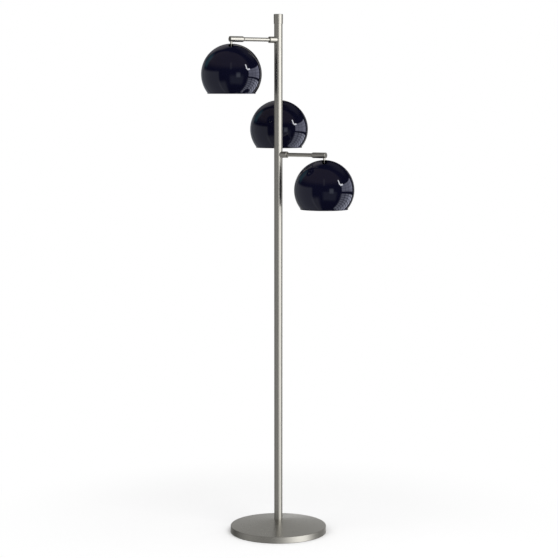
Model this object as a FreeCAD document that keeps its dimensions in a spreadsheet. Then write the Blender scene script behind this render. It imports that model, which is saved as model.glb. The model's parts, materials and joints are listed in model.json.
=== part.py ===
import FreeCAD, Part
import math
import os
import Sketcher

# A free-standing tree lamp: a weighted round base, a pole in three lengths, three fixed arms a third of
# a turn apart at three heights, and on each arm a ball-shaped shade that swivels and tilts on its stem.
# The knob on top of the pole is the rotary switch. Millimetres. The origin is the middle of the base's
# underside, +Z is up, and -Y is the front, from where the back arm hides behind the pole.

SIZES = {
    # overall
    "total_height": 1592.0,
    "arm_reach": 160.0,
    "upper_drop": 77.0,
    "middle_drop": 244.0,
    "lower_drop": 422.0,
    "upper_azimuth": 210.0,
    "middle_azimuth": 90.0,
    "lower_azimuth": 330.0,
    # base
    "base_foot_r": 149.5,
    "base_rim_lean": 1.2,
    "base_rim_height": 20.0,
    "base_centre_height": 39.2,
    "cover_wall": 1.2,
    "cover_lift": 1.0,
    "cover_edge": 1.0,
    "cover_seat_margin": 1.8,
    "pad_thick": 2.5,
    "pad_gap": 1.0,
    "weight_r": 118.0,
    "weight_thick": 16.0,
    "weight_boss_r": 26.0,
    "weight_pocket_r": 20.0,
    "weight_pocket_depth": 14.0,
    "clamp_washer_r": 17.0,
    "clamp_washer_thick": 2.0,
    "clamp_nut_flats": 19.0,
    "clamp_nut_thick": 7.0,
    "spigot_thread_r": 6.0,
    "spigot_head_length": 25.0,
    "spigot_end_length": 2.0,
    "spigot_bore_r": 4.0,
    "cord_hole_height": 11.0,
    "cord_hole_r": 5.0,
    "grommet_flange_r": 6.8,
    "grommet_flange_thick": 1.5,
    "grommet_groove": 2.6,
    "grommet_bore_r": 3.2,
    # pole
    "pole_r": 12.7,
    "pole_wall": 1.2,
    "seam_below_arm": 106.9,
    "coupler_length": 60.0,
    "coupler_wall": 3.0,
    # switch and knob
    "knob_height": 29.0,
    "knob_overlap": 12.0,
    "knob_skirt_wall": 0.75,
    "knob_flare": 0.25,
    "knob_edge": 0.8,
    "knob_wall": 1.5,
    "knob_top_thick": 2.5,
    "knob_boss_r": 5.0,
    "knob_boss_length": 5.5,
    "turning_gap": 0.35,
    "switch_body_r": 10.4,
    "switch_body_height": 18.0,
    "switch_bush_r": 5.0,
    "switch_bush_length": 7.0,
    "switch_shaft_r": 3.0,
    "switch_shaft_depth": 14.0,
    "switch_nut_flats": 14.0,
    "switch_nut_thick": 3.0,
    "carrier_thick": 8.0,
    # arm
    "collar_r": 9.75,
    "collar_length": 32.0,
    "collar_edge": 1.2,
    "collar_seat": 5.0,
    "rod_r": 6.0,
    "rod_thread_r": 5.0,
    "rod_bore_r": 3.0,
    "rod_tail_short": 0.2,
    "weld_nut_r": 7.5,
    "weld_nut_length": 6.0,
    "drill_gap": 0.2,
    "sleeve_r": 8.7,
    "sleeve_wall": 1.5,
    "sleeve_inner_end": 42.0,
    "sleeve_taper": 4.0,
    "sleeve_taper_r": 6.7,
    "sleeve_edge": 0.5,
    "rod_seat": 17.5,
    "plug_length": 17.5,
    "plug_flat": 1.0,
    "plug_end_wall": 0.9,
    "plug_end_gap": 0.2,
    # stem and yoke
    "stem_r": 3.8,
    "stem_wall": 1.2,
    "running_gap": 0.05,
    "stem_flange_lip": 0.6,
    "stem_flange_thick": 1.45,
    "stem_tab_gap": 1.0,
    "stem_tab_half": 1.2,
    "stem_shoulder_lip": 1.4,
    "stem_shoulder_thick": 1.2,
    "stem_rivet_thick": 1.0,
    "notch_gap": 0.3,
    "shade_gap": 4.8,
    "pivot_rise": 20.0,
    "yoke_plate_rise": 13.0,
    "yoke_thick": 1.5,
    "yoke_half_width": 6.0,
    "yoke_side_gap": 0.3,
    "pivot_screw_r": 2.5,
    "pivot_thread_r": 1.5,
    "pivot_thread_length": 5.0,
    "pivot_head_r": 4.0,
    "pivot_head_thick": 2.0,
    # socket, spider and ring
    "socket_r": 13.8,
    "socket_mouth": 8.0,
    "socket_bore_gap": 0.6,
    "socket_bore_depth": 16.0,
    "socket_roof": 3.0,
    "socket_flange_width": 4.2,
    "socket_flange_thick": 2.0,
    "socket_boss_r": 4.5,
    "socket_boss_gap": 1.7,
    "ear_inset": 1.0,
    "ear_thick": 6.0,
    "spider_thick": 1.2,
    "spider_ring_width": 4.5,
    "spider_hole_gap": 0.2,
    "spoke_width": 7.0,
    "spoke_tab_drop": 4.0,
    "ring_width": 5.2,
    "ring_height": 4.5,
    "ring_notches": 12.0,
    "ring_notch_r": 1.4,
    # shade and bulb
    "shade_r": 90.5,
    "shade_wall": 0.8,
    "mouth_drop": 57.8,
    "hem_height": 2.6,
    "hem_out": 0.35,
    "hem_round": 0.4,
    "slot_half": 7.0,
    "slot_margin": 0.7,
    "tilt_range": 30.0,
    "bulb_r": 22.5,
    "bulb_base_r": 6.0,
    "bulb_tip_r": 2.0,
    "bulb_tip_edge": 1.9,
    "bulb_collar": 0.5,
    "bulb_neck_r": 8.0,
    "bulb_neck_length": 3.6,
    # leads
    "lead_r": 1.3,
    "lead_offset": 4.0,
    "lead_rise": 5.0,
    "lead_bend_r": 30.0,
    "lead_turn_r": 4.0,
    "lead_climb_start": 27.0,
    "lead_climb_end": 11.0,
    "lead_end_height": 1.0,
}

ARMS = ("upper", "middle", "lower")

doc = FreeCAD.newDocument("tree_lamp")
sheet = doc.addObject("Spreadsheet::Sheet", "Sizes")
for row, (name, number) in enumerate(SIZES.items(), start=1):
    sheet.set("A%d" % row, name)
    sheet.set("B%d" % row, str(number))
    sheet.setAlias("B%d" % row, name)
doc.recompute()


class Size:
    """A size: what it measures now, and the sheet expression that it follows."""

    def __init__(self, value, text):
        self.value = float(value)
        self.text = text

    def __add__(self, other):
        other = sized(other)
        return Size(self.value + other.value, "(%s + %s)" % (self.text, other.text))

    def __sub__(self, other):
        other = sized(other)
        return Size(self.value - other.value, "(%s - %s)" % (self.text, other.text))

    def __mul__(self, other):
        other = sized(other)
        return Size(self.value * other.value, "%s * %s" % (self.text, other.text))

    def __truediv__(self, other):
        other = sized(other)
        return Size(self.value / other.value, "(%s) / (%s)" % (self.text, other.text))

    def __neg__(self):
        return Size(-self.value, "(0 - %s)" % self.text)


def sized(thing):
    return thing if isinstance(thing, Size) else Size(thing, repr(float(thing)))


def read(name):
    return Size(sheet.get(name), "Sizes.%s" % name)


def leg(hypotenuse, other):
    """The third side of a right triangle, such as a sphere's radius at a height."""
    value = math.sqrt(hypotenuse.value**2 - other.value**2)
    return Size(value, "sqrt(%s * %s - %s * %s)" % (hypotenuse.text, hypotenuse.text, other.text, other.text))


def cosine(angle):
    return Size(math.cos(math.radians(angle.value)), "cos(%s)" % angle.text)


def sine(angle):
    return Size(math.sin(math.radians(angle.value)), "sin(%s)" % angle.text)


ZERO = sized(0.0)
Z_AXIS = FreeCAD.Vector(0, 0, 1)


def bind(thing, path, size):
    thing.setExpression(path, size.text)


def place(thing, x=ZERO, y=ZERO, z=ZERO, turn=ZERO):
    """Stand a piece at a point, turned about the vertical, and tie both to the sheet."""
    spot = FreeCAD.Vector(x.value, y.value, z.value)
    thing.Placement = FreeCAD.Placement(spot, FreeCAD.Rotation(Z_AXIS, turn.value))
    for path, size in (("x", x), ("y", y), ("z", z)):
        if size is not ZERO:
            bind(thing, "Placement.Base." + path, size)
    if turn is not ZERO:
        bind(thing, "Placement.Rotation.Angle", turn)
    return thing


def body_named(label):
    body = doc.addObject("PartDesign::Body", label)
    body.Label = label
    return body


def plane_of(body, role):
    return [feature for feature in body.Origin.OriginFeatures if feature.Role == role][0]


def pin_point(sketch, curve, end, point):
    """Hold one end of a curve at a point whose two coordinates follow the sheet."""
    for axis, kind, size in ((-2, "DistanceX", point[0]), (-1, "DistanceY", point[1])):
        if size.value == 0.0:
            sketch.addConstraint(Sketcher.Constraint("PointOnObject", curve, end, axis))
        else:
            held = sketch.addConstraint(Sketcher.Constraint(kind, -1, 1, curve, end, size.value))
            bind(sketch, "Constraints[%d]" % held, size)


def arc_between(start, end, radius):
    """The short arc from start to end: anticlockwise for a positive radius, clockwise for a negative."""
    reach = end - start
    middle = (start + end) * 0.5
    left = FreeCAD.Vector(-reach.y, reach.x, 0).normalize()
    off = math.sqrt(radius**2 - (reach.Length / 2) ** 2)
    centre = middle + left * (off if radius > 0 else -off)
    first, last = (start, end) if radius > 0 else (end, start)
    angles = [math.atan2(p.y - centre.y, p.x - centre.x) for p in (first, last)]
    circle = Part.Circle(centre, Z_AXIS, abs(radius))
    return Part.ArcOfCircle(circle, angles[0], angles[1])


def add_loop(sketch, corners):
    """A closed outline of corners (x, y) or (x, y, radius of the arc that leaves the corner)."""
    corners = [tuple(sized(number) for number in corner) for corner in corners]
    points = [FreeCAD.Vector(corner[0].value, corner[1].value, 0) for corner in corners]
    ends = []
    for index, corner in enumerate(corners):
        start = points[index]
        end = points[(index + 1) % len(corners)]
        if len(corner) == 3:
            curve = sketch.addGeometry(arc_between(start, end, corner[2].value))
            ends.append((curve, (1, 2) if corner[2].value > 0 else (2, 1)))
        else:
            curve = sketch.addGeometry(Part.LineSegment(start, end))
            ends.append((curve, (1, 2)))
    for index, corner in enumerate(corners):
        curve, (begin, finish) = ends[index]
        following, (next_begin, _) = ends[(index + 1) % len(corners)]
        sketch.addConstraint(Sketcher.Constraint("Coincident", curve, finish, following, next_begin))
        pin_point(sketch, curve, begin, corner)
    for index, corner in enumerate(corners):
        if len(corner) == 3:
            curve = ends[index][0]
            radius = corner[2] if corner[2].value > 0 else -corner[2]
            held = sketch.addConstraint(Sketcher.Constraint("Radius", curve, radius.value))
            bind(sketch, "Constraints[%d]" % held, radius)


def add_circle(sketch, x, y, radius):
    x, y, radius = sized(x), sized(y), sized(radius)
    centre = FreeCAD.Vector(x.value, y.value, 0)
    curve = sketch.addGeometry(Part.Circle(centre, Z_AXIS, radius.value))
    if x.value == 0.0 and y.value == 0.0:
        sketch.addConstraint(Sketcher.Constraint("Coincident", curve, 3, -1, 1))
    else:
        pin_point(sketch, curve, 3, (x, y))
    held = sketch.addConstraint(Sketcher.Constraint("Radius", curve, radius.value))
    bind(sketch, "Constraints[%d]" % held, radius)


def sketch_on(body, role, loops=(), circles=()):
    sketch = body.newObject("Sketcher::SketchObject", body.Label + "_sketch")
    sketch.AttachmentSupport = [(plane_of(body, role), "")]
    sketch.MapMode = "FlatFace"
    for corners in loops:
        add_loop(sketch, corners)
    for circle in circles:
        add_circle(sketch, *circle)
    sketch.Visibility = False
    return sketch


def turn_on(body, corners, axis="V_Axis", angle=360.0):
    """Turn an outline drawn on the XZ plane about the vertical or the horizontal axis."""
    sketch = sketch_on(body, "XZ_Plane", loops=[corners])
    feature = body.newObject("PartDesign::Revolution", body.Label + "_turned")
    feature.Profile = sketch
    feature.ReferenceAxis = (sketch, [axis])
    feature.Midplane = True
    feature.Angle = angle
    return feature


def turned(label, corners, axis="V_Axis"):
    body = body_named(label)
    turn_on(body, corners, axis)
    return body


def pad(body, role, length, loops=(), circles=(), both_ways=False):
    sketch = sketch_on(body, role, loops, circles)
    feature = body.newObject("PartDesign::Pad", body.Label + "_pad")
    feature.Profile = sketch
    feature.Midplane = both_ways
    bind(feature, "Length", sized(length))
    return feature


def pocket(body, role, loops=(), circles=(), length=None, backwards=False):
    """Cut an outline away, right through both ways, or for a length on one side of its plane."""
    doc.recompute()
    before = body.Shape.Volume
    sketch = sketch_on(body, role, loops, circles)
    feature = body.newObject("PartDesign::Pocket", body.Label + "_pocket")
    feature.Profile = sketch
    if length is None:
        feature.Type = "ThroughAll"
        feature.Midplane = True
    else:
        bind(feature, "Length", length)
        feature.Reversed = backwards
    doc.recompute()
    if body.Shape.Volume > before - 1e-6:
        raise RuntimeError("a cut in %s takes nothing away" % body.Label)
    return feature


def around(body, features, count):
    """Repeat features round the vertical axis."""
    pattern = body.newObject("PartDesign::PolarPattern", body.Label + "_pattern")
    pattern.Originals = features
    pattern.Axis = (plane_of(body, "Z_Axis"), [""])
    pattern.Angle = 360.0
    bind(pattern, "Occurrences", count)
    body.Tip = pattern
    return pattern


def cylinder(radius, height, x=ZERO, y=ZERO, z=ZERO, along_x=False):
    """A plain cylinder from a point, upright or along +X."""
    thing = doc.addObject("Part::Cylinder", "cylinder")
    bind(thing, "Radius", sized(radius))
    bind(thing, "Height", sized(height))
    place(thing, sized(x), sized(y), sized(z))
    if along_x:
        lying = FreeCAD.Rotation(FreeCAD.Vector(0, 1, 0), 90)
        thing.Placement = FreeCAD.Placement(thing.Placement.Base, lying)
    return thing


def block(low, high):
    """A plain block between two corners."""
    thing = doc.addObject("Part::Box", "block")
    for name, start, end in zip(("Length", "Width", "Height"), low, high):
        bind(thing, name, sized(end) - sized(start))
    return place(thing, *[sized(number) for number in low])


def fused(label, shapes):
    thing = doc.addObject("Part::MultiFuse", label)
    thing.Label = label
    thing.Shapes = shapes
    return thing


def cut(label, base, tool):
    thing = doc.addObject("Part::Cut", label)
    thing.Label = label
    thing.Base = base
    thing.Tool = tool
    return thing


def gathered(label, members):
    """Alike fasteners that share a name, as separate solids."""
    thing = doc.addObject("Part::Compound", label)
    thing.Label = label
    thing.Links = members
    return thing


def hexagon(flats):
    """The corners of a hexagon, by its width across flats."""
    corner = flats / sized(math.sqrt(3.0))
    half = flats / 2.0
    side = corner / 2.0
    return [(corner, ZERO), (side, half), (-side, half), (-corner, ZERO), (-side, -half), (side, -half)]


def tube_outline(inner, outer, low, high):
    return [(inner, low), (outer, low), (outer, high), (inner, high)]


S = {name: read(name) for name in SIZES}
nodes = []


def keep(*things):
    nodes.extend(things)


# sizes that follow from what a piece fits in, seats on or clears
pole_in = S["pole_r"] - S["pole_wall"]
S["cover_seat_r"] = S["pole_r"] + S["cover_seat_margin"]
S["base_top_r"] = S["base_foot_r"] - S["base_rim_lean"]
S["knob_skirt_r"] = S["pole_r"] + S["turning_gap"] + S["knob_skirt_wall"]
S["knob_top_r"] = S["knob_skirt_r"] + S["knob_flare"]
S["weld_nut_reach"] = pole_in - S["weld_nut_length"]
S["rod_tail"] = S["weld_nut_reach"] + S["rod_tail_short"]
S["stem_bore_r"] = S["stem_r"] - S["stem_wall"]
S["stem_flange_r"] = S["stem_r"] + S["stem_flange_lip"]
S["stem_shoulder_r"] = S["stem_r"] + S["stem_shoulder_lip"]
S["stem_tab_reach"] = S["sleeve_r"] - S["sleeve_wall"] - S["stem_tab_gap"]
S["sleeve_outer_end"] = S["stem_flange_r"] + S["plug_end_gap"] + S["plug_end_wall"]
S["shade_drop"] = S["shade_r"] + S["sleeve_r"] + S["shade_gap"]
S["socket_bore_r"] = S["bulb_base_r"] + S["socket_bore_gap"]
S["socket_flange_r"] = S["socket_r"] + S["socket_flange_width"]
S["ear_outer"] = S["socket_flange_r"] - S["ear_inset"]
S["ear_inner"] = S["ear_outer"] - S["ear_thick"]
S["ring_r"] = S["socket_r"] + S["ring_width"]

# heights that several pieces share
for arm_name in ARMS:
    S[arm_name + "_height"] = S["total_height"] - S[arm_name + "_drop"]
knob_low = S["total_height"] - S["knob_height"]
pole_top = knob_low + S["knob_overlap"]
pole_foot = S["base_centre_height"]
upper_seam = S["lower_height"] - S["seam_below_arm"]
lower_seam = (pole_foot + upper_seam) / 2.0
carrier_low = pole_top - S["carrier_thick"]
switch_low = carrier_low - S["switch_body_height"]
seat_z = pole_foot - S["cover_wall"]
weight_top = S["pad_thick"] + S["weight_thick"]
pocket_roof = S["pad_thick"] + S["weight_pocket_depth"]
washer_low = pocket_roof - S["clamp_washer_thick"]
nut_low = washer_low - S["clamp_nut_thick"]


def make_base():
    """Domed cover over a cast weight, on a felt pad, all clamped to the pole by one nut."""
    wall = S["cover_wall"]
    foot = S["base_foot_r"]
    lift = S["cover_lift"]
    edge = S["cover_edge"]
    top_r = S["base_top_r"]
    rim = S["base_rim_height"]
    cover = turned(
        "base_cover",
        [
            (S["spigot_thread_r"], pole_foot),
            (S["spigot_thread_r"], seat_z),
            (S["cover_seat_r"], seat_z),
            (top_r - wall, rim - wall),
            (foot - wall, lift),
            (foot, lift),
            (top_r, rim - edge),
            (top_r - edge, rim),
            (S["cover_seat_r"], pole_foot),
        ],
    )
    hole = (ZERO, S["cord_hole_height"], S["cord_hole_r"])
    pocket(cover, "XZ_Plane", circles=[hole], length=foot + wall)
    weight = turned(
        "base_weight",
        [
            (S["weight_pocket_r"], S["pad_thick"]),
            (S["weight_r"], S["pad_thick"]),
            (S["weight_r"], weight_top),
            (S["weight_boss_r"], weight_top),
            (S["cover_seat_r"], seat_z),
            (S["spigot_thread_r"], seat_z),
            (S["spigot_thread_r"], pocket_roof),
            (S["weight_pocket_r"], pocket_roof),
        ],
    )
    pad_r = foot - wall - S["pad_gap"]
    felt = turned("base_pad", tube_outline(ZERO, pad_r, ZERO, S["pad_thick"]))
    washer = turned(
        "clamp_washer",
        tube_outline(S["spigot_thread_r"], S["clamp_washer_r"], washer_low, pocket_roof),
    )
    nut = body_named("clamp_nut")
    bore = (ZERO, ZERO, S["spigot_thread_r"])
    pad(nut, "XY_Plane", S["clamp_nut_thick"], [hexagon(S["clamp_nut_flats"])], [bore])
    place(nut, z=nut_low)
    spigot_end = nut_low - S["spigot_end_length"]
    spigot = turned(
        "pole_spigot",
        [
            (S["spigot_bore_r"], spigot_end),
            (S["spigot_thread_r"], spigot_end),
            (S["spigot_thread_r"], pole_foot),
            (pole_in, pole_foot),
            (pole_in, pole_foot + S["spigot_head_length"]),
            (S["spigot_bore_r"], pole_foot + S["spigot_head_length"]),
        ],
    )
    keep(cover, weight, felt, washer, nut, spigot)


def make_grommet():
    """Rubber bush in the cover's rear wall, turned about its own axis and laid along +Y."""
    core = S["cord_hole_r"] - S["running_gap"]
    flange = S["grommet_flange_thick"]
    half = S["grommet_groove"] / 2.0
    grommet = turned(
        "cord_grommet",
        [
            (-half - flange, S["grommet_bore_r"]),
            (half + flange, S["grommet_bore_r"]),
            (half + flange, S["grommet_flange_r"]),
            (half, S["grommet_flange_r"]),
            (half, core),
            (-half, core),
            (-half, S["grommet_flange_r"]),
            (-half - flange, S["grommet_flange_r"]),
        ],
        axis="H_Axis",
    )
    rise = S["base_rim_height"] - S["cover_edge"] - S["cover_lift"]
    lean = (S["base_foot_r"] - S["base_top_r"]) / rise
    wall_y = S["base_foot_r"] - lean * (S["cord_hole_height"] - S["cover_lift"])
    middle = wall_y - S["cover_wall"] / 2.0
    place(grommet, y=middle, z=S["cord_hole_height"], turn=sized(90.0))
    keep(grommet)


def make_pole():
    """Three lengths of tube butted over plain couplers, the top one drilled for the arms."""
    lower = turned("pole_lower", tube_outline(pole_in, S["pole_r"], pole_foot, lower_seam))
    middle = turned("pole_middle", tube_outline(pole_in, S["pole_r"], lower_seam, upper_seam))
    plain = turned("pole_upper_tube", tube_outline(pole_in, S["pole_r"], upper_seam, pole_top))
    drills = []
    for arm in ARMS:
        drill = turned(
            arm + "_drill",
            [
                (ZERO, ZERO),
                (S["pole_r"] * 2.0, ZERO),
                (S["pole_r"] * 2.0, S["rod_thread_r"] + S["drill_gap"]),
                (ZERO, S["rod_thread_r"] + S["drill_gap"]),
            ],
            axis="H_Axis",
        )
        drills.append(place(drill, z=S[arm + "_height"], turn=S[arm + "_azimuth"]))
    upper = cut("pole_upper", plain, fused("arm_drills", drills))
    couplers = []
    for label, seam in (("lower_coupler", lower_seam), ("upper_coupler", upper_seam)):
        half = S["coupler_length"] / 2.0
        joint = turned(label, tube_outline(pole_in - S["coupler_wall"], pole_in, -half, half))
        couplers.append(place(joint, z=seam))
    keep(lower, middle, upper, gathered("pole_couplers", couplers))


def make_switch():
    """Rotary switch hung under a carrier in the pole's top end, with its shaft in the knob."""
    bush_top = pole_top + S["switch_bush_length"]
    bush_bore = S["switch_shaft_r"] + S["running_gap"]
    shaft_low = carrier_low - S["switch_shaft_depth"]
    carrier = turned("switch_carrier", tube_outline(S["switch_bush_r"], pole_in, carrier_low, pole_top))
    body = turned(
        "switch_body",
        [
            (ZERO, switch_low),
            (S["switch_body_r"], switch_low),
            (S["switch_body_r"], carrier_low),
            (S["switch_bush_r"], carrier_low),
            (S["switch_bush_r"], bush_top),
            (bush_bore, bush_top),
            (bush_bore, shaft_low),
            (ZERO, shaft_low),
        ],
    )
    nut = body_named("switch_nut")
    bore = (ZERO, ZERO, S["switch_bush_r"])
    pad(nut, "XY_Plane", S["switch_nut_thick"], [hexagon(S["switch_nut_flats"])], [bore])
    place(nut, z=pole_top)

    top = S["total_height"]
    roof = top - S["knob_top_thick"]
    boss_low = roof - S["knob_boss_length"]
    shaft_top = roof
    skirt_in = S["pole_r"] + S["turning_gap"]
    step = pole_top + S["turning_gap"]
    knob = turned(
        "selector_knob",
        [
            (ZERO, top),
            (ZERO, shaft_top),
            (S["switch_shaft_r"], shaft_top),
            (S["switch_shaft_r"], boss_low),
            (S["knob_boss_r"], boss_low),
            (S["knob_boss_r"], roof),
            (S["knob_top_r"] - S["knob_wall"], roof),
            (S["knob_top_r"] - S["knob_wall"], step),
            (skirt_in, step),
            (skirt_in, knob_low),
            (S["knob_skirt_r"], knob_low),
            (S["knob_top_r"], top - S["knob_edge"]),
            (S["knob_top_r"] - S["knob_edge"], top),
        ],
    )
    shaft_foot = shaft_low + S["running_gap"] * 2.0
    shaft = turned(
        "switch_shaft",
        [
            (ZERO, shaft_foot),
            (S["switch_shaft_r"], shaft_foot),
            (S["switch_shaft_r"], shaft_top),
            (ZERO, shaft_top),
        ],
    )
    keep(carrier, body, nut, knob, shaft)


def make_weld_nuts():
    """The threaded nuts welded inside the pole's wall, one behind each arm."""
    nuts = []
    for arm in ARMS:
        nut = turned(
            arm + "_weld_nut",
            [
                (S["weld_nut_reach"], S["rod_thread_r"]),
                (S["pole_r"], S["rod_thread_r"]),
                (S["pole_r"], S["weld_nut_r"]),
                (S["weld_nut_reach"], S["weld_nut_r"]),
            ],
            axis="H_Axis",
        )
        pocket(nut, "XY_Plane", circles=[(ZERO, ZERO, pole_in), (ZERO, ZERO, S["pole_r"] * 2.0)])
        nuts.append(place(nut, z=S[arm + "_height"], turn=S[arm + "_azimuth"]))
    keep(gathered("arm_weld_nuts", nuts))


def make_arm(arm):
    """One arm, drawn along +X from the pole's axis and then turned to its place."""
    reach = S["arm_reach"]
    spot = {"z": S[arm + "_height"], "turn": S[arm + "_azimuth"]}
    seat = S["collar_length"] - S["collar_seat"]
    rod_end = reach - S["sleeve_inner_end"] + S["rod_seat"]
    edge = S["collar_edge"]

    collar_start = leg(S["pole_r"], S["collar_r"]) - S["drill_gap"]
    collar = turned(
        arm + "_collar",
        [
            (collar_start, S["rod_thread_r"]),
            (seat, S["rod_thread_r"]),
            (seat, S["rod_r"]),
            (S["collar_length"], S["rod_r"]),
            (S["collar_length"], S["collar_r"] - edge, edge),
            (S["collar_length"] - edge, S["collar_r"]),
            (collar_start, S["collar_r"]),
        ],
        axis="H_Axis",
    )
    pocket(collar, "XY_Plane", circles=[(ZERO, ZERO, S["pole_r"])])

    rod = turned(
        arm + "_rod",
        [
            (S["rod_tail"], S["rod_bore_r"]),
            (rod_end, S["rod_bore_r"]),
            (rod_end, S["rod_r"]),
            (seat, S["rod_r"]),
            (seat, S["rod_thread_r"]),
            (S["rod_tail"], S["rod_thread_r"]),
        ],
        axis="H_Axis",
    )

    inner = reach - S["sleeve_inner_end"]
    outer = reach + S["sleeve_outer_end"]
    plug_r = S["sleeve_r"] - S["sleeve_wall"]
    sleeve = turned(
        arm + "_sleeve",
        [
            (inner, S["rod_r"]),
            (rod_end, S["rod_r"]),
            (rod_end, plug_r),
            (outer, plug_r),
            (outer, S["sleeve_r"] - S["sleeve_edge"]),
            (outer - S["sleeve_edge"], S["sleeve_r"]),
            (inner + S["sleeve_taper"], S["sleeve_r"]),
            (inner, S["sleeve_taper_r"]),
        ],
        axis="H_Axis",
    )
    notch = S["stem_r"] + S["notch_gap"]
    way_out = outer + S["sleeve_r"]
    pocket(
        sleeve,
        "XY_Plane",
        loops=[
            [
                (way_out, notch),
                (reach, notch, notch),
                (reach - notch, ZERO, notch),
                (reach, -notch),
                (way_out, -notch),
            ]
        ],
        length=S["sleeve_r"] * 2.0,
    )

    plug_start = outer - S["plug_length"]
    plug = turned(
        arm + "_end_plug",
        [(plug_start, ZERO), (outer, ZERO), (outer, plug_r), (plug_start, plug_r)],
        axis="H_Axis",
    )
    wall_in = outer - S["plug_end_wall"]
    above = S["sleeve_r"]
    clear = plug_start - S["plug_flat"]
    pocket(
        plug,
        "XZ_Plane",
        loops=[[(clear, S["plug_flat"]), (wall_in, S["plug_flat"]), (wall_in, above), (clear, above)]],
    )
    bearing = S["stem_r"] + S["running_gap"]
    pocket(plug, "XY_Plane", circles=[(reach, ZERO, bearing)])

    for piece in (collar, rod, sleeve, plug):
        place(piece, **spot)
    keep(collar, rod, sleeve, plug)


def head_spot(arm):
    """Where a ball's centre is: straight below the arm's end."""
    azimuth = S[arm + "_azimuth"]
    return {
        "x": S["arm_reach"] * cosine(azimuth),
        "y": S["arm_reach"] * sine(azimuth),
        "z": S[arm + "_height"] - S["shade_drop"],
    }


def make_swivel(arm):
    """The hollow stem that turns in the arm's end plug, and the yoke riveted to its foot."""
    azimuth = S[arm + "_azimuth"]
    flange_low = S["plug_flat"] + S["running_gap"]
    flange_top = flange_low + S["stem_flange_thick"]
    plate_low = S["pivot_rise"] + S["yoke_plate_rise"]
    plate_high = plate_low + S["yoke_thick"]
    foot = plate_low - S["stem_rivet_thick"] - S["shade_drop"]
    under = plate_low - S["shade_drop"]
    over = plate_high - S["shade_drop"]
    stem = turned(
        arm + "_stem",
        [
            (S["stem_bore_r"], foot),
            (S["stem_shoulder_r"], foot),
            (S["stem_shoulder_r"], under),
            (S["stem_r"], under),
            (S["stem_r"], over),
            (S["stem_shoulder_r"], over),
            (S["stem_shoulder_r"], over + S["stem_shoulder_thick"]),
            (S["stem_r"], over + S["stem_shoulder_thick"]),
            (S["stem_r"], flange_low),
            (S["stem_flange_r"], flange_low),
            (S["stem_flange_r"], flange_top),
            (S["stem_bore_r"], flange_top),
        ],
    )
    reach = S["stem_tab_reach"]
    middle = (S["stem_bore_r"] + S["stem_flange_r"]) / 2.0
    half = S["stem_tab_half"]
    sketch_loops = [[(-reach, -half), (-middle, -half), (-middle, half), (-reach, half)]]
    tab = pad(stem, "XY_Plane", S["stem_flange_thick"], sketch_loops)
    tab.Profile[0].AttachmentOffset = FreeCAD.Placement(
        FreeCAD.Vector(0, 0, flange_low.value), FreeCAD.Rotation()
    )
    bind(tab.Profile[0], "AttachmentOffset.Base.z", flange_low)
    spot = head_spot(arm)
    place(stem, spot["x"], spot["y"], S[arm + "_height"], azimuth)

    half = S["yoke_half_width"]
    leg_in = S["ear_outer"] + S["yoke_side_gap"]
    leg_out = leg_in + S["yoke_thick"]
    pivot = S["pivot_rise"]
    solids = [block((-leg_out, -half, plate_low), (leg_out, half, plate_high))]
    for start in (leg_in, -leg_out):
        solids.append(block((start, -half, pivot), (start + S["yoke_thick"], half, plate_high)))
        solids.append(cylinder(half, S["yoke_thick"], x=start, z=pivot, along_x=True))
    screw_way = cylinder(
        S["pivot_screw_r"] + S["running_gap"], leg_out * 2.0, x=-leg_out, z=pivot, along_x=True
    )
    stem_way = cylinder(S["stem_r"], S["yoke_thick"], z=plate_low)
    bar = fused(arm + "_yoke_bar", solids)
    holes = fused(arm + "_yoke_holes", [screw_way, stem_way])
    yoke = cut(arm + "_yoke", bar, holes)
    place(yoke, **spot)
    keep(stem, yoke)


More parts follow.
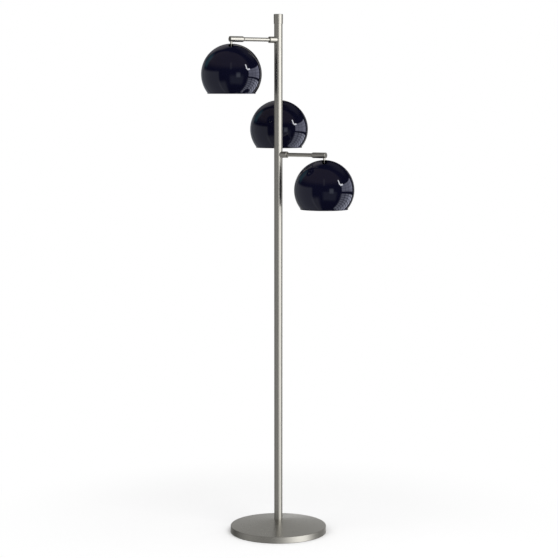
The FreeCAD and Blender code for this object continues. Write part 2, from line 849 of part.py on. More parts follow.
def make_socket(arm):
    """Socket with two ears for the pivot screws, and the ring that clamps the shade's spider to it."""
    mouth = -S["socket_mouth"]
    inner_roof = mouth + S["socket_bore_depth"]
    roof = inner_roof + S["socket_roof"]
    boss_top = S["pivot_rise"] - S["socket_boss_gap"]
    pivot = S["pivot_rise"]
    half = S["yoke_half_width"]
    shell = turned(
        arm + "_socket_shell",
        [
            (ZERO, inner_roof),
            (S["socket_bore_r"], inner_roof),
            (S["socket_bore_r"], mouth),
            (S["socket_r"], mouth),
            (S["socket_r"], -S["socket_flange_thick"]),
            (S["socket_flange_r"], -S["socket_flange_thick"]),
            (S["socket_flange_r"], ZERO),
            (S["socket_r"], ZERO),
            (S["socket_r"], roof),
            (S["socket_boss_r"], roof),
            (S["socket_boss_r"], boss_top),
            (ZERO, boss_top),
        ],
    )
    solids = [shell]
    ear = S["ear_outer"] - S["ear_inner"]
    for start in (S["ear_inner"], -S["ear_outer"]):
        solids.append(block((start, -half, -S["socket_flange_thick"]), (start + ear, half, pivot)))
        solids.append(cylinder(half, ear, x=start, z=pivot, along_x=True))
    holes = []
    deep = S["pivot_thread_length"]
    for start in (S["ear_outer"] - deep, -S["ear_outer"]):
        holes.append(cylinder(S["pivot_thread_r"], deep, x=start, z=pivot, along_x=True))
    socket = cut(
        arm + "_socket",
        fused(arm + "_socket_solid", solids),
        fused(arm + "_socket_holes", holes),
    )

    shoulder = S["yoke_thick"] + S["yoke_side_gap"] * 2.0
    screws = []
    for side, corner in (("left", sized(-1.0)), ("right", sized(1.0))):
        face = S["ear_outer"]
        head = face + shoulder
        screw = turned(
            "%s_%s_screw" % (arm, side),
            [
                (corner * (face - deep), ZERO),
                (corner * (face - deep), S["pivot_thread_r"]),
                (corner * face, S["pivot_thread_r"]),
                (corner * face, S["pivot_screw_r"]),
                (corner * head, S["pivot_screw_r"]),
                (corner * head, S["pivot_head_r"]),
                (corner * (head + S["pivot_head_thick"]), S["pivot_head_r"]),
                (corner * (head + S["pivot_head_thick"]), ZERO),
            ],
            axis="H_Axis",
        )
        screws.append(place(screw, z=pivot))
    pair = gathered(arm + "_pivot_screws", screws)

    plate_low = -S["socket_flange_thick"] - S["spider_thick"]
    ring = turned(
        arm + "_clamp_ring",
        tube_outline(S["socket_r"], S["ring_r"], plate_low - S["ring_height"], plate_low),
    )
    notch = pocket(
        ring,
        "XY_Plane",
        circles=[(S["ring_r"] + S["ring_notch_r"] / 2.0, ZERO, S["ring_notch_r"])],
    )
    around(ring, [notch], S["ring_notches"])
    spot = head_spot(arm)
    for piece in (socket, pair, ring):
        place(piece, **spot)
    keep(socket, pair, ring)


def make_shade(arm):
    """The ball-shaped shade, open below and slotted on top, and its welded three-legged spider.

    The slot runs as far forward as the stem's axis crosses the ball at full tilt, and a margin."""
    ball = S["shade_r"]
    inside = ball - S["shade_wall"]
    mouth = S["mouth_drop"]
    hem = mouth - S["hem_height"]
    hem_r = leg(ball, hem) + S["hem_out"]
    hem_in = leg(inside, hem)
    soft = S["hem_round"]
    shade = turned(
        arm + "_shade",
        [
            (ZERO, ball, -ball),
            (ball, ZERO, -ball),
            (leg(ball, hem), -hem),
            (hem_r, -hem),
            (hem_r, soft - mouth, -soft),
            (hem_r - soft, -mouth),
            (hem_in, -mouth),
            (hem_in, -hem, inside),
            (inside, ZERO, inside),
            (ZERO, inside),
        ],
    )
    tilt = S["tilt_range"]
    along_stem = leg(ball, S["pivot_rise"] * sine(tilt)) - S["pivot_rise"] * cosine(tilt)
    half = S["slot_half"]
    run = -(along_stem * sine(tilt) + S["slot_margin"])
    slot = [
        (half, ZERO, half),
        (ZERO, half, half),
        (-half, ZERO),
        (-half, run, half),
        (ZERO, run - half, half),
        (half, run),
    ]
    pocket(shade, "XY_Plane", loops=[slot], length=ball * 2.0, backwards=True)

    high = -S["socket_flange_thick"]
    low = high - S["spider_thick"]
    drop = low - S["spoke_tab_drop"]
    strip = inside - S["spider_thick"]
    spider = body_named(arm + "_spider")
    hole_r = S["socket_r"] + S["spider_hole_gap"]
    spider_ring_r = hole_r + S["spider_ring_width"]
    turn_on(spider, tube_outline(hole_r, spider_ring_r, low, high))
    spoke_in = (hole_r + spider_ring_r) / 2.0
    spoke_out = strip + S["spider_thick"] / 2.0
    width = S["spoke_width"] / 2.0
    spoke = pad(
        spider,
        "XZ_Plane",
        S["spoke_width"],
        [[(spoke_in, low), (spoke_out, low), (spoke_out, high), (spoke_in, high)]],
        both_ways=True,
    )
    arc_deg = S["spoke_width"] / inside * (180.0 / math.pi)
    tab = turn_on(
        spider,
        [
            (leg(strip, drop), drop, strip),
            (leg(strip, high), high),
            (leg(inside, high), high, -inside),
            (leg(inside, drop), drop),
        ],
        angle=arc_deg.value,
    )
    bind(tab, "Angle", arc_deg)
    around(spider, [spoke, tab], sized(3.0))
    spot = head_spot(arm)
    place(shade, **spot)
    place(spider, turn=sized(90.0), **spot)
    keep(shade, spider)


def make_bulb(arm):
    """A small round bulb that hangs from its socket and ends above the shade's mouth."""
    tip = S["socket_bore_depth"] - S["socket_mouth"]
    collar_z = -S["socket_mouth"] - S["bulb_collar"]
    neck_z = collar_z - S["bulb_neck_length"]
    centre = neck_z - leg(S["bulb_r"], S["bulb_neck_r"])
    bottom = centre - S["bulb_r"]
    bulb = turned(
        arm + "_bulb",
        [
            (ZERO, tip),
            (ZERO, bottom, S["bulb_r"]),
            (S["bulb_r"], centre, S["bulb_r"]),
            (S["bulb_neck_r"], neck_z),
            (S["bulb_base_r"], collar_z),
            (S["bulb_base_r"], tip - S["bulb_tip_edge"]),
            (S["bulb_tip_r"], tip),
        ],
    )
    place(bulb, **head_spot(arm))
    keep(bulb)


def rounded_route(points, radii):
    """Straight runs between points in the XZ plane, joined at the inner ones by arcs of given radii."""
    edges = []
    last = points[0]
    for before, corner, after, radius in zip(points, points[1:], points[2:], radii):
        to_back = (before - corner).normalize()
        to_front = (after - corner).normalize()
        half_turn = (math.pi - to_back.getAngle(to_front)) / 2
        tangent = radius * math.tan(half_turn)
        start = corner + to_back * tangent
        end = corner + to_front * tangent
        inward = (to_back + to_front).normalize()
        middle = corner + inward * (radius / math.cos(half_turn) - radius)
        edges.append(Part.LineSegment(last, start).toShape())
        edges.append(Part.Arc(start, middle, end).toShape())
        last = end
    edges.append(Part.LineSegment(last, points[-1]).toShape())
    return Part.Wire(edges)


def make_leads(arm):
    """The flex inside one arm, from the switch down the pole to the stem, and on down to the socket."""
    size = {name: value.value for name, value in S.items()}
    reach = size["arm_reach"]
    radius = size["lead_r"]
    height = size[arm + "_height"]
    start = switch_low.value - height
    high = size["lead_rise"]
    bend = size["weld_nut_reach"] + size["lead_offset"]
    points = [
        FreeCAD.Vector(-size["lead_offset"], 0, start),
        FreeCAD.Vector(-size["lead_offset"], 0, 0),
        FreeCAD.Vector(reach - size["lead_climb_start"], 0, 0),
        FreeCAD.Vector(reach - size["lead_climb_end"], 0, high),
        FreeCAD.Vector(reach, 0, high),
        FreeCAD.Vector(reach, 0, size["lead_end_height"]),
    ]
    turn = size["lead_turn_r"] - size["running_gap"]
    radii = [bend, size["lead_bend_r"], size["lead_bend_r"], turn]
    route = rounded_route(points, radii)
    ring = Part.Wire(Part.Circle(points[0], FreeCAD.Vector(0, 0, 1), radius).toShape())
    lead = doc.addObject("Part::Feature", arm + "_arm_lead")
    lead.Label = arm + "_arm_lead"
    lead.Shape = route.makePipeShell([ring], True, False)
    print("%s: %.1f mm long" % (lead.Label, route.Length))
    place(lead, z=S[arm + "_height"], turn=S[arm + "_azimuth"])

    pivot = S["pivot_rise"]
    low_point = pivot - S["shade_drop"]
    top = S["lead_end_height"] - S["running_gap"] * 2.0
    stem_lead = turned(
        arm + "_stem_lead",
        [
            (ZERO, top),
            (ZERO, low_point - S["lead_r"], S["lead_r"]),
            (S["lead_r"], low_point),
            (S["lead_r"], top),
        ],
    )
    spot = head_spot(arm)
    place(stem_lead, spot["x"], spot["y"], S[arm + "_height"])
    keep(lead, stem_lead)


make_base()
make_grommet()
make_pole()
make_switch()
make_weld_nuts()
for arm_name in ARMS:
    make_arm(arm_name)
    make_swivel(arm_name)
    make_socket(arm_name)
    make_shade(arm_name)
    make_bulb(arm_name)
    make_leads(arm_name)
doc.recompute()

for thing in doc.Objects:
    if "Invalid" in thing.State or "Error" in thing.State:
        raise RuntimeError("%s did not build: %s" % (thing.Label, thing.State))
for node in nodes:
    if node.Shape.isNull() or not node.Shape.isValid() or not node.Shape.Solids:
        raise RuntimeError("%s has no valid solid" % node.Label)

os.makedirs("parts", exist_ok=True)
for node in nodes:
    node.Shape.exportStep("parts/%s.step" % node.Label)
print("%d nodes" % len(nodes))
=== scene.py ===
import json
import math

import bpy
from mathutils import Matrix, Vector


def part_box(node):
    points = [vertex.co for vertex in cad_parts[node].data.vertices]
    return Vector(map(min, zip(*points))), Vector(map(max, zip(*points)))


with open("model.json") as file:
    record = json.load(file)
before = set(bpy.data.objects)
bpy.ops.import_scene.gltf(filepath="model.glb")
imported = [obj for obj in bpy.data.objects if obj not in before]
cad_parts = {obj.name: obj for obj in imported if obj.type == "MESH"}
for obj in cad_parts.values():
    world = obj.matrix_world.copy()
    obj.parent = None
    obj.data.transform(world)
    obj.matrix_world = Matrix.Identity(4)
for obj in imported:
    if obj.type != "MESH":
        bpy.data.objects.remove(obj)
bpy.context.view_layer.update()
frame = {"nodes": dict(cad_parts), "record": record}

record = frame["record"]
nodes = frame["nodes"]
# where each arm points, in degrees round the pole from +x
ARMS = {"upper": 210.0, "middle": 90.0, "lower": 330.0}
# in metres: the bulb's glass meets its screw base this far below the socket's lowest point,
# and half the width over which the one look gives way to the other
NECK_BELOW_SOCKET = 0.0041
NECK_EDGE = 0.0004
DEGREES = 180.0 / math.pi


# ---------------------------------------------------------------- node helpers


class Graph:
    """A node tree that is being filled."""

    def __init__(self, tree):
        self.tree = tree
        tree.nodes.clear()

    def add(self, kind, inputs=None, **settings):
        node = self.tree.nodes.new("ShaderNode" + kind)
        for key, value in settings.items():
            setattr(node, key, value)
        for key, value in (inputs or {}).items():
            self.feed(node.inputs[key], value)
        return node

    def feed(self, socket, value):
        if isinstance(value, bpy.types.NodeSocket):
            self.tree.links.new(value, socket)
        else:
            socket.default_value = value

    def math(self, operation, first, second=0.0, third=0.0):
        inputs = {0: first, 1: second, 2: third}
        return self.add("Math", inputs, operation=operation).outputs[0]

    def total(self, *terms):
        out = terms[0]
        for term in terms[1:]:
            out = self.math("ADD", out, term)
        return out

    def product(self, *factors):
        out = factors[0]
        for factor in factors[1:]:
            out = self.math("MULTIPLY", out, factor)
        return out

    def fade(self, value, low, high):
        """0 below low, 1 above high, smooth between; the other way if low is above high."""
        inputs = {"Value": value, "From Min": low, "From Max": high}
        return self.add("MapRange", inputs, interpolation_type="SMOOTHSTEP").outputs[0]

    def spread(self, value, low, high):
        """A 0 to 1 value put to the range low to high."""
        return self.add("MapRange", {"Value": value, "To Min": low, "To Max": high}).outputs[0]

    def tint(self, factor, first, second):
        mixer = self.add("Mix", {0: factor, 6: first, 7: second}, data_type="RGBA")
        return mixer.outputs[2]

    def ramp(self, factor, stops):
        node = self.add("ValToRGB", {0: factor})
        elements = node.color_ramp.elements
        while len(elements) < len(stops):
            elements.new(0.5)
        for element, (position, value) in zip(elements, stops):
            element.position = position
            element.color = (value, value, value, 1.0)
        return node.outputs[0]

    def noise(self, vector, scale, detail=3.0, roughness=0.5):
        inputs = {"Vector": vector, "Scale": scale, "Detail": detail, "Roughness": roughness}
        return self.add("TexNoise", inputs).outputs[0]

    def stretched(self, vector, scales, turn=0.0):
        """Coordinates turned about the vertical and stretched, to give noise a grain."""
        spin = {"Vector": vector, "Rotation": (0.0, 0.0, -math.radians(turn))}
        turned = self.add("Mapping", spin).outputs[0]
        return self.add("Mapping", {"Vector": turned, "Scale": scales}).outputs[0]


def rgba(red, green, blue):
    return (red, green, blue, 1.0)


def material(name):
    made = bpy.data.materials.new(name)
    made.use_nodes = True
    return made, Graph(made.node_tree)


def surface(graph, bump=None, strength=0.3, distance=0.0002, **sockets):
    """The one shader of a piece, with an optional bump height."""
    inputs = {name.replace("_", " "): value for name, value in sockets.items()}
    if bump is not None:
        height = {"Height": bump, "Strength": strength, "Distance": distance}
        inputs["Normal"] = graph.add("Bump", height).outputs[0]
    shader = graph.add("BsdfPrincipled", inputs)
    out = graph.add("OutputMaterial")
    graph.tree.links.new(shader.outputs[0], out.inputs["Surface"])


def place_of(graph):
    return graph.add("TexCoord").outputs["Object"]


def away_from_axis(graph, point):
    """The distance from the vertical axis through the pole."""
    inputs = {0: point, 1: (1.0, 1.0, 0.0)}
    flat = graph.add("VectorMath", inputs, operation="MULTIPLY").outputs[0]
    return graph.add("VectorMath", {0: flat}, operation="LENGTH").outputs["Value"]


# ---------------------------------------------------------------- materials


def nickel(name, grain, turn=0.0, colour=(0.43, 0.42, 0.39), shine=(0.2, 0.32)):
    """Brushed plate. grain stretches the brushing, or is None for rings round the pole."""
    made, graph = material(name)
    point = place_of(graph)
    if grain is None:
        across = away_from_axis(graph, point)
        height = graph.add("SeparateXYZ", {0: point}).outputs[2]
        rings = graph.add("CombineXYZ", {0: across, 1: height}).outputs[0]
        lines = graph.noise(rings, 1400.0, 4.0, 0.65)
    else:
        lines = graph.noise(graph.stretched(point, grain, turn), 1.0, 4.0, 0.65)
    clouds = graph.noise(point, 16.0, 3.0, 0.6)
    prints = graph.noise(point, 75.0, 4.0, 0.6)
    worn = graph.fade(prints, 0.56, 0.74)
    gloss = graph.total(
        graph.spread(lines, shine[0], shine[1]),
        graph.product(clouds, 0.05),
        graph.product(worn, 0.07),
    )
    dark = rgba(*[part * 0.93 for part in colour])
    light = rgba(*[min(1.0, part * 1.06) for part in colour])
    grained = graph.tint(lines, dark, light)
    shade = graph.tint(graph.spread(clouds, 0.0, 0.5), grained, rgba(*colour))
    surface(graph, lines, 0.07, 0.00005, Base_Color=shade, Metallic=1.0, Roughness=gloss)
    return made


def enamel(name):
    """High-gloss navy enamel with faint orange peel, dust and a few fine rubs."""
    made, graph = material(name)
    point = place_of(graph)
    peel = graph.noise(point, 260.0, 2.0, 0.4)
    drift = graph.noise(point, 11.0, 3.0, 0.5)
    rubs = graph.noise(graph.stretched(point, (700.0, 60.0, 220.0), 35.0), 1.0, 3.0, 0.6)
    dust = graph.fade(graph.noise(point, 950.0, 2.0, 0.7), 0.7, 0.78)
    deep = rgba(0.0029, 0.0031, 0.0098)
    lighter = rgba(0.0039, 0.0041, 0.013)
    blue = graph.tint(drift, deep, lighter)
    colour = graph.tint(graph.product(dust, 0.35), blue, rgba(0.035, 0.034, 0.038))
    gloss = graph.total(
        graph.spread(drift, 0.03, 0.055),
        graph.product(graph.fade(rubs, 0.62, 0.8), 0.05),
        graph.product(dust, 0.12),
    )
    surface(
        graph, peel, 0.05, 0.0002, Base_Color=colour, Roughness=gloss,
        Specular_IOR_Level=0.5,
    )
    return made


def plain_metal(name, colour, shine, grain=180.0, patch=0.2):
    """Plated or machined small parts, a little uneven and dull in places."""
    made, graph = material(name)
    point = place_of(graph)
    spangle = graph.noise(point, grain, 4.0, 0.6)
    fine = graph.noise(graph.stretched(point, (900.0, 900.0, 260.0)), 1.0, 3.0, 0.6)
    tarnish = graph.fade(graph.noise(point, 42.0, 4.0, 0.65), 0.5, 0.75)
    dull = rgba(*[part * 0.62 for part in colour])
    base = graph.tint(graph.product(tarnish, patch * 2.0), rgba(*colour), dull)
    bright = rgba(*[min(1.0, part * 1.12) for part in colour])
    shade = graph.tint(graph.product(spangle, 0.4), base, bright)
    gloss = graph.total(graph.spread(fine, shine[0], shine[1]), graph.product(tarnish, 0.12))
    surface(graph, fine, 0.15, 0.00005, Base_Color=shade, Metallic=1.0, Roughness=gloss)
    return made


def moulded(name, colour, shine, grain, strength=0.15):
    """Moulded plastic or rubber with a fine texture and handling marks."""
    made, graph = material(name)
    point = place_of(graph)
    texture = graph.noise(point, grain, 3.0, 0.6)
    marks = graph.noise(point, 55.0, 4.0, 0.6)
    pale = rgba(*[min(1.0, part * 1.5 + 0.004) for part in colour])
    shade = graph.tint(graph.fade(marks, 0.45, 0.8), rgba(*colour), pale)
    gloss = graph.total(graph.spread(texture, shine[0], shine[1]), graph.product(marks, 0.08))
    surface(graph, texture, strength, 0.0001, Base_Color=shade, Roughness=gloss)
    return made


def felt(name):
    """Dense needled felt: short fibres every way, a few lighter ones, and pressed patches."""
    made, graph = material(name)
    point = place_of(graph)
    fibres = graph.noise(graph.stretched(point, (1500.0, 240.0, 900.0), 20.0), 1.0, 4.0, 0.7)
    crossing = graph.noise(graph.stretched(point, (1500.0, 240.0, 900.0), 112.0), 1.0, 4.0, 0.7)
    nap = graph.math("MAXIMUM", fibres, crossing)
    pressed = graph.noise(point, 14.0, 3.0, 0.5)
    dark = graph.tint(pressed, rgba(0.018, 0.018, 0.02), rgba(0.035, 0.035, 0.038))
    colour = graph.tint(graph.fade(nap, 0.55, 0.85), dark, rgba(0.11, 0.11, 0.115))
    rough = graph.spread(nap, 0.85, 1.0)
    surface(graph, nap, 0.7, 0.0006, Base_Color=colour, Roughness=rough, Sheen_Weight=0.3)
    return made


def casting(name):
    """Sand-cast iron: a coarse skin, darker pits and a trace of rust."""
    made, graph = material(name)
    point = place_of(graph)
    skin = graph.noise(point, 320.0, 5.0, 0.7)
    pits = graph.fade(graph.noise(point, 120.0, 3.0, 0.5), 0.36, 0.28)
    rust = graph.fade(graph.noise(point, 26.0, 5.0, 0.7), 0.56, 0.72)
    iron = graph.tint(skin, rgba(0.035, 0.036, 0.038), rgba(0.09, 0.09, 0.088))
    rusted = graph.tint(graph.product(rust, 0.6), iron, rgba(0.12, 0.05, 0.02))
    colour = graph.tint(pits, rusted, rgba(0.015, 0.015, 0.015))
    height = graph.math("SUBTRACT", skin, pits)
    rough = graph.spread(skin, 0.6, 0.85)
    surface(graph, height, 0.6, 0.0006, Base_Color=colour, Metallic=0.4, Roughness=rough)
    return made


def bulb(name, neck_height):
    """Opal glass, with the screw base's metal above the neck."""
    made, graph = material(name)
    point = place_of(graph)
    height = graph.add("SeparateXYZ", {0: point}).outputs[2]
    metal = graph.fade(height, neck_height - NECK_EDGE, neck_height + NECK_EDGE)
    swirl = graph.noise(point, 30.0, 3.0, 0.5)
    fine = graph.noise(point, 600.0, 3.0, 0.6)
    glass = graph.tint(swirl, rgba(0.80, 0.79, 0.74), rgba(0.88, 0.87, 0.83))
    colour = graph.tint(metal, glass, rgba(0.55, 0.53, 0.48))
    rough = graph.total(graph.spread(swirl, 0.08, 0.16), graph.product(metal, 0.2))
    surface(
        graph, fine, 0.05, 0.0001, Base_Color=colour, Metallic=metal, Roughness=rough,
        Coat_Weight=0.4, Coat_Roughness=0.05,
    )
    return made


# grains are stretches of noise, in waves per metre along x, y and z
ALONG_Z = (1500.0, 1500.0, 14.0)
ALONG_X = (14.0, 1500.0, 1500.0)
RINGS_ON_X = (1500.0, 40.0, 40.0)

looks = {
    "cast_iron": casting("Cast_iron"),
    "felt": felt("Needled_felt"),
    "zinc_steel": plain_metal("Zinc_plate", (0.58, 0.59, 0.60), (0.22, 0.38)),
    "rubber": moulded("Rubber", (0.022, 0.022, 0.022), (0.55, 0.7), 900.0),
    "switch_plastic": moulded("Switch_plastic", (0.03, 0.03, 0.032), (0.35, 0.5), 1200.0),
    "shaft_brass": plain_metal("Brass", (0.62, 0.45, 0.2), (0.18, 0.3)),
    "socket_plastic": moulded("Socket_plastic", (0.018, 0.018, 0.019), (0.25, 0.36), 1400.0, 0.08),
    "shade_enamel": enamel("Navy_enamel"),
    "lead_cover": moulded("Lead_cover", (0.7, 0.69, 0.65), (0.4, 0.55), 1100.0),
}
spun = nickel("Nickel_spun", None)
lengthwise = nickel("Nickel_pole", ALONG_Z)
ringed = nickel("Nickel_knob", (60.0, 60.0, 1500.0))
stem_plate = nickel("Nickel_stem", ALONG_Z, colour=(0.5, 0.49, 0.46), shine=(0.08, 0.16))

special = {"base_cover": spun, "selector_knob": ringed}
for piece in ("pole_lower", "pole_middle", "pole_upper"):
    special[piece] = lengthwise
for arm, azimuth in ARMS.items():
    tube = nickel("Nickel_%s_arm" % arm, ALONG_X, azimuth)
    turned = nickel("Nickel_%s_collar" % arm, RINGS_ON_X, azimuth)
    special[arm + "_rod"] = tube
    special[arm + "_sleeve"] = tube
    special[arm + "_collar"] = turned
    special[arm + "_end_plug"] = turned
    special[arm + "_stem"] = stem_plate
    low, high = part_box(arm + "_socket")
    special[arm + "_bulb"] = bulb("Opal_bulb_" + arm, low[2] - NECK_BELOW_SOCKET)

slots = {part["node"]: part["material_slot"] for part in record["subparts"]}
for name, thing in nodes.items():
    look = special.get(name) or looks[slots[name]]
    for slot in thing.material_slots:
        slot.material = look


# ---------------------------------------------------------------- camera


CAMERA_DISTANCE = 5.059
CAMERA_HEIGHT = 1.340
CAMERA_SIDE = math.radians(0.78)
CAMERA_PITCH = math.radians(6.21)
CAMERA_YAW = math.radians(0.0224)

camera_data = bpy.data.cameras.new("Camera")
camera_data.sensor_fit = "HORIZONTAL"
camera_data.sensor_width = 36.0
camera_data.lens = 107.16
camera = bpy.data.objects.new("Camera", camera_data)
camera.location = (
    CAMERA_DISTANCE * math.sin(CAMERA_SIDE),
    -CAMERA_DISTANCE * math.cos(CAMERA_SIDE),
    CAMERA_HEIGHT,
)
camera.rotation_euler = (math.pi / 2 - CAMERA_PITCH, 0.0, CAMERA_SIDE - CAMERA_YAW)
bpy.context.scene.collection.objects.link(camera)
bpy.context.scene.camera = camera


# ---------------------------------------------------------------- studio


def seen(graph):
    """1 for the rays that show the background: camera, glossy and transmission."""
    path = graph.add("LightPath").outputs
    either = graph.math("MAXIMUM", path["Is Camera Ray"], path["Is Glossy Ray"])
    return graph.math("MAXIMUM", either, path["Is Transmission Ray"])


def stage_mesh(name, points, faces):
    mesh = bpy.data.meshes.new(name)
    mesh.from_pydata(points, [], faces)
    thing = bpy.data.objects.new(name, mesh)
    bpy.context.scene.collection.objects.link(thing)
    return thing


# the world's light on matte surfaces; what shows as background is 1
AMBIENT = 0.76

world = bpy.data.worlds.new("Studio")
world.use_nodes = True
bpy.context.scene.world = world
graph = Graph(world.node_tree)
strength = graph.spread(seen(graph), AMBIENT, 1.0)
background = graph.add("Background", {"Color": rgba(1.0, 1.0, 1.0), "Strength": strength})
graph.tree.links.new(background.outputs[0], graph.add("OutputWorld").inputs["Surface"])

FLOOR_HALF = 60.0
FLOOR_DROP = 0.0002
floor = stage_mesh(
    "Floor",
    [
        (x * FLOOR_HALF, y * FLOOR_HALF, -FLOOR_DROP)
        for x, y in ((-1, -1), (1, -1), (1, 1), (-1, 1))
    ],
    [(0, 1, 2, 3)],
)
floor_look, graph = material("Pale_floor")
point = place_of(graph)
far = graph.fade(away_from_axis(graph, point), 0.35, 1.1)
mottle = graph.noise(point, 3.0, 2.0, 0.5)
paper = graph.tint(mottle, rgba(0.925, 0.925, 0.925), rgba(0.945, 0.945, 0.945))
matte = graph.add("BsdfDiffuse", {"Color": paper})
glow = graph.add("Emission", {"Color": rgba(1.0, 1.0, 1.0), "Strength": 1.0})
share = graph.product(far, seen(graph))
mixed = graph.add("MixShader", {0: share, 1: matte.outputs[0], 2: glow.outputs[0]})
graph.tree.links.new(mixed.outputs[0], graph.add("OutputMaterial").inputs["Surface"])
floor.data.materials.append(floor_look)
# reflections see the tents and the walls, not the floor
floor.visible_glossy = False


def globe_round_set(name, radius):
    """A globe round the set that only reflections see."""
    rings, sides = 24, 48
    points = [(0.0, 0.0, radius)]
    for ring in range(1, rings):
        tilt = math.pi * ring / rings
        for side in range(sides):
            turn = 2.0 * math.pi * side / sides
            flat = radius * math.sin(tilt)
            level = radius * math.cos(tilt)
            points.append((flat * math.cos(turn), flat * math.sin(turn), level))
    points.append((0.0, 0.0, -radius))
    last = len(points) - 1
    faces = []
    for side in range(sides):
        after = (side + 1) % sides
        faces.append((0, 1 + side, 1 + after))
        for ring in range(rings - 2):
            start = 1 + ring * sides
            under = start + sides
            faces.append((start + side, under + side, under + after, start + after))
        start = last - sides
        faces.append((last, start + after, start + side))
    globe = stage_mesh(name, points, faces)
    globe.location = (0.0, 0.0, 1.0)
    globe.visible_camera = False
    globe.visible_diffuse = False
    globe.visible_transmission = False
    globe.visible_volume_scatter = False
    globe.visible_shadow = False
    return globe


def compass(graph, radius):
    """Bearing from the front, to the right, and rise from the middle, in degrees."""
    x, y, z = graph.add("SeparateXYZ", {0: place_of(graph)}).outputs
    bearing = graph.math("ARCTAN2", x, graph.product(y, -1.0))
    rise = graph.math("ARCSINE", graph.product(z, 1.0 / radius))
    return graph.product(bearing, DEGREES), graph.product(rise, DEGREES)


def tent(name, radius, receivers, paint):
    """Light from all round, for reflections in some pieces. paint gives colour and strength."""
    globe = globe_round_set(name, radius)
    look, graph = material(name)
    bearing, rise = compass(graph, radius)
    colour, strength = paint(graph, bearing, rise)
    glow = graph.add("Emission", {"Color": colour, "Strength": strength})
    clear = graph.add("BsdfTransparent")
    both = graph.add("AddShader", {0: glow.outputs[0], 1: clear.outputs[0]})
    graph.tree.links.new(both.outputs[0], graph.add("OutputMaterial").inputs["Surface"])
    look.cycles.emission_sampling = "NONE"
    globe.data.materials.append(look)
    group = bpy.data.collections.new(name + "_receivers")
    for thing in receivers:
        group.objects.link(thing)
    globe.light_linking.receiver_collection = group


# Opaque black walls that only reflections see. They hide the white world from reflections,
# except through a narrow opening behind the set.
WALL_RADIUS = 10.0
walls = globe_round_set("Dark_walls", WALL_RADIUS)
dark_look, graph = material("Dark_walls")
matte = graph.add("BsdfDiffuse", {"Color": rgba(0.0, 0.0, 0.0)})
clear = graph.add("BsdfTransparent")
bearing, rise = compass(graph, WALL_RADIUS)
doorway = graph.product(
    graph.fade(bearing, 157.0, 164.0), graph.fade(rise, -26.0, -20.0), graph.fade(rise, -4.0, -9.0)
)
mixed = graph.add("MixShader", {0: doorway, 1: matte.outputs[0], 2: clear.outputs[0]})
graph.tree.links.new(mixed.outputs[0], graph.add("OutputMaterial").inputs["Surface"])
walls.data.materials.append(dark_look)


METAL_LEVEL = 2.1
KEY_BEARING = 64.0


def metal_paint(graph, bearing, rise):
    """Soft cards round the metal, by compass bearing from the front, to the right."""
    level = graph.ramp(
        graph.total(graph.product(bearing, 1.0 / 360.0), 0.5),
        [
            (0.0, 0.235), (0.09, 0.12), (0.155, 0.05), (0.22, 0.14), (0.29, 0.21), (0.38, 0.168),
            (0.47, 0.165), (0.52, 0.29), (0.565, 0.60), (0.60, 0.94), (0.64, 1.0), (0.685, 1.0),
            (0.72, 0.62), (0.765, 0.27), (0.82, 0.15), (0.92, 0.19), (1.0, 0.235),
        ],
    )
    to_key = graph.product(graph.fade(bearing, 0.0, 30.0), graph.fade(bearing, 130.0, 90.0))
    high = graph.spread(graph.product(to_key, graph.fade(rise, -9.0, 1.0)), 1.0, 1.24)
    off_peak = graph.fade(graph.math("ABSOLUTE", graph.total(bearing, -KEY_BEARING)), 10.0, 30.0)
    low = graph.product(to_key, off_peak, graph.fade(rise, -9.0, -14.0))
    level = graph.product(level, high, graph.spread(low, 1.0, 0.8))
    shift = graph.product(to_key, -10.0)
    tilted = graph.total(rise, shift)
    band = graph.product(graph.fade(tilted, -48.0, -24.0), graph.fade(tilted, 46.0, 20.0))
    below = graph.fade(rise, -20.0, -45.0)
    behind = graph.fade(graph.math("ABSOLUTE", bearing), 70.0, 150.0)
    rest = graph.total(0.15, graph.product(below, graph.spread(behind, 0.04, 0.4)))
    strength = graph.total(
        graph.product(level, band), graph.product(rest, graph.math("SUBTRACT", 1.0, band))
    )
    return rgba(1.0, 0.995, 0.98), graph.product(strength, METAL_LEVEL)


# left, right, low and high edges in degrees, softness, colour, and radiance
CARDS = [
    (-128.0, -47.0, -80.0, 11.0, 4.0, (0.9, 0.93, 1.0), 0.40),
    (-52.0, -22.0, -80.0, -24.0, 9.0, (0.93, 0.95, 1.0), 0.34),
    (-118.0, 76.0, 27.0, 89.0, 10.0, (1.0, 0.84, 0.82), 0.17),
    (-4.0, 3.0, 20.0, 46.0, 3.0, (0.9, 0.95, 1.0), 0.22),
    (-134.0, -110.0, 17.0, 42.0, 6.0, (0.3, 0.85, 1.0), 0.26),
    (-179.0, -140.0, 24.0, 60.0, 8.0, (1.0, 0.96, 1.0), 0.34),
    (-179.0, -130.0, -70.0, 18.0, 8.0, (0.88, 0.93, 1.0), 0.36),
    (110.0, 170.0, 34.0, 62.0, 9.0, (0.95, 0.93, 1.0), 0.08),
    (146.0, 179.0, -70.0, 14.0, 8.0, (0.95, 0.95, 1.0), 0.24),
    (20.0, 35.0, -8.0, 8.0, 4.0, (0.8, 0.87, 1.0), 1.0),
    (-4.0, 48.0, -34.0, -3.0, 7.0, (0.8, 0.86, 1.0), 0.25),
    (61.5, 66.5, 19.0, 34.0, 1.0, (0.93, 0.95, 1.0), 15.0),
    (65.0, 78.0, 15.5, 20.0, 1.0, (0.93, 0.95, 1.0), 14.0),
]


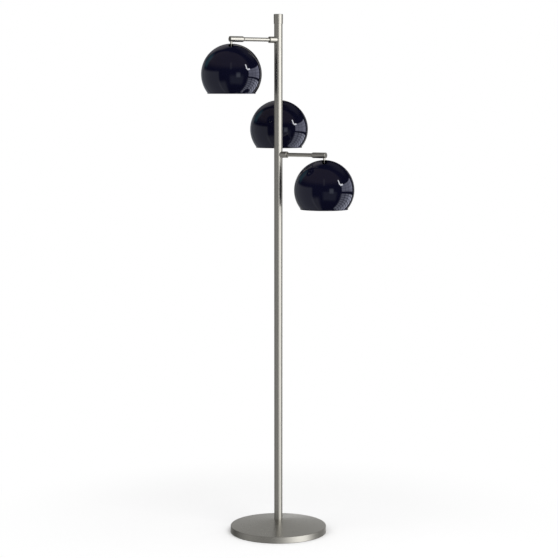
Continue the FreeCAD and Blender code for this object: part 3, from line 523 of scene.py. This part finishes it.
def room_paint(graph, bearing, rise):
    """The dim room that the enamel mirrors: pale floor, a lamp, and a window with slats."""
    colour = None

    def inside(left, right, low, high, soft):
        return graph.product(
            graph.fade(bearing, left - soft, left + soft),
            graph.fade(bearing, right + soft, right - soft),
            graph.fade(rise, low - soft, low + soft),
            graph.fade(rise, high + soft, high - soft),
        )

    def add(mask, tone, level):
        nonlocal colour
        lit = graph.add("VectorMath", {0: tone}, operation="SCALE")
        graph.feed(lit.inputs["Scale"], graph.product(mask, level))
        if colour is None:
            colour = lit.outputs[0]
        else:
            both = {0: colour, 1: lit.outputs[0]}
            colour = graph.add("VectorMath", both, operation="ADD").outputs[0]

    for left, right, low, high, soft, tone, level in CARDS:
        add(inside(left, right, low, high, soft), tone, level)
    slats = graph.fade(graph.math("PINGPONG", rise, 3.2), 0.6, 1.5)
    posts = graph.fade(graph.math("PINGPONG", graph.total(bearing, 8.0), 9.5), 0.8, 1.5)
    sideways = graph.fade(bearing, 78.0, 126.0)
    tall_level = graph.spread(sideways, 2.5, 1.8)
    low_level = graph.spread(sideways, 2.1, 3.1)
    tall = inside(70.0, 133.0, -4.0, 18.0, 1.2)
    low_panes = inside(66.0, 136.0, -60.0, -9.0, 1.5)
    tall_panes = graph.product(tall, graph.spread(slats, 0.75, 1.0), graph.spread(posts, 0.6, 1.0))
    barred = graph.product(low_panes, graph.spread(slats, 0.4, 1.0), posts)
    add(tall_panes, (0.76, 0.78, 1.0), tall_level)
    add(barred, (0.78, 0.81, 1.0), low_level)
    return colour, 1.0


metal_slots = ("brushed_nickel", "bright_nickel", "zinc_steel", "shaft_brass")
metals = [thing for name, thing in nodes.items() if slots[name] in metal_slots]
others = [thing for name, thing in nodes.items() if slots[name] not in metal_slots]
METAL_TENT_RADIUS, ROOM_TENT_RADIUS = 8.0, 9.0
tent("Metal_tent", METAL_TENT_RADIUS, metals, metal_paint)
tent("Room_tent", ROOM_TENT_RADIUS, others, room_paint)


def softbox(name, place, target, size, power):
    """A soft lamp that lights matte surfaces; the tents stand for it in reflections."""
    data = bpy.data.lights.new(name, "AREA")
    data.shape = "DISK"
    data.size = size
    data.energy = power
    lamp = bpy.data.objects.new(name, data)
    lamp.location = place
    way = [a - b for a, b in zip(target, place)]
    flat = math.hypot(way[0], way[1])
    heading = math.atan2(way[1], way[0]) - math.pi / 2
    lamp.rotation_euler = (math.atan2(flat, -way[2]), 0.0, heading)
    lamp.visible_glossy = False
    bpy.context.scene.collection.objects.link(lamp)


AIM = (0.0, 0.0, 0.6)
LAMP_SIZE = 2.4
softbox("Key", (2.0, -2.4, 3.4), AIM, LAMP_SIZE, 64.0)
softbox("Fill", (-2.6, -1.6, 2.6), AIM, LAMP_SIZE, 26.0)

bpy.context.scene.view_settings.view_transform = "Standard"
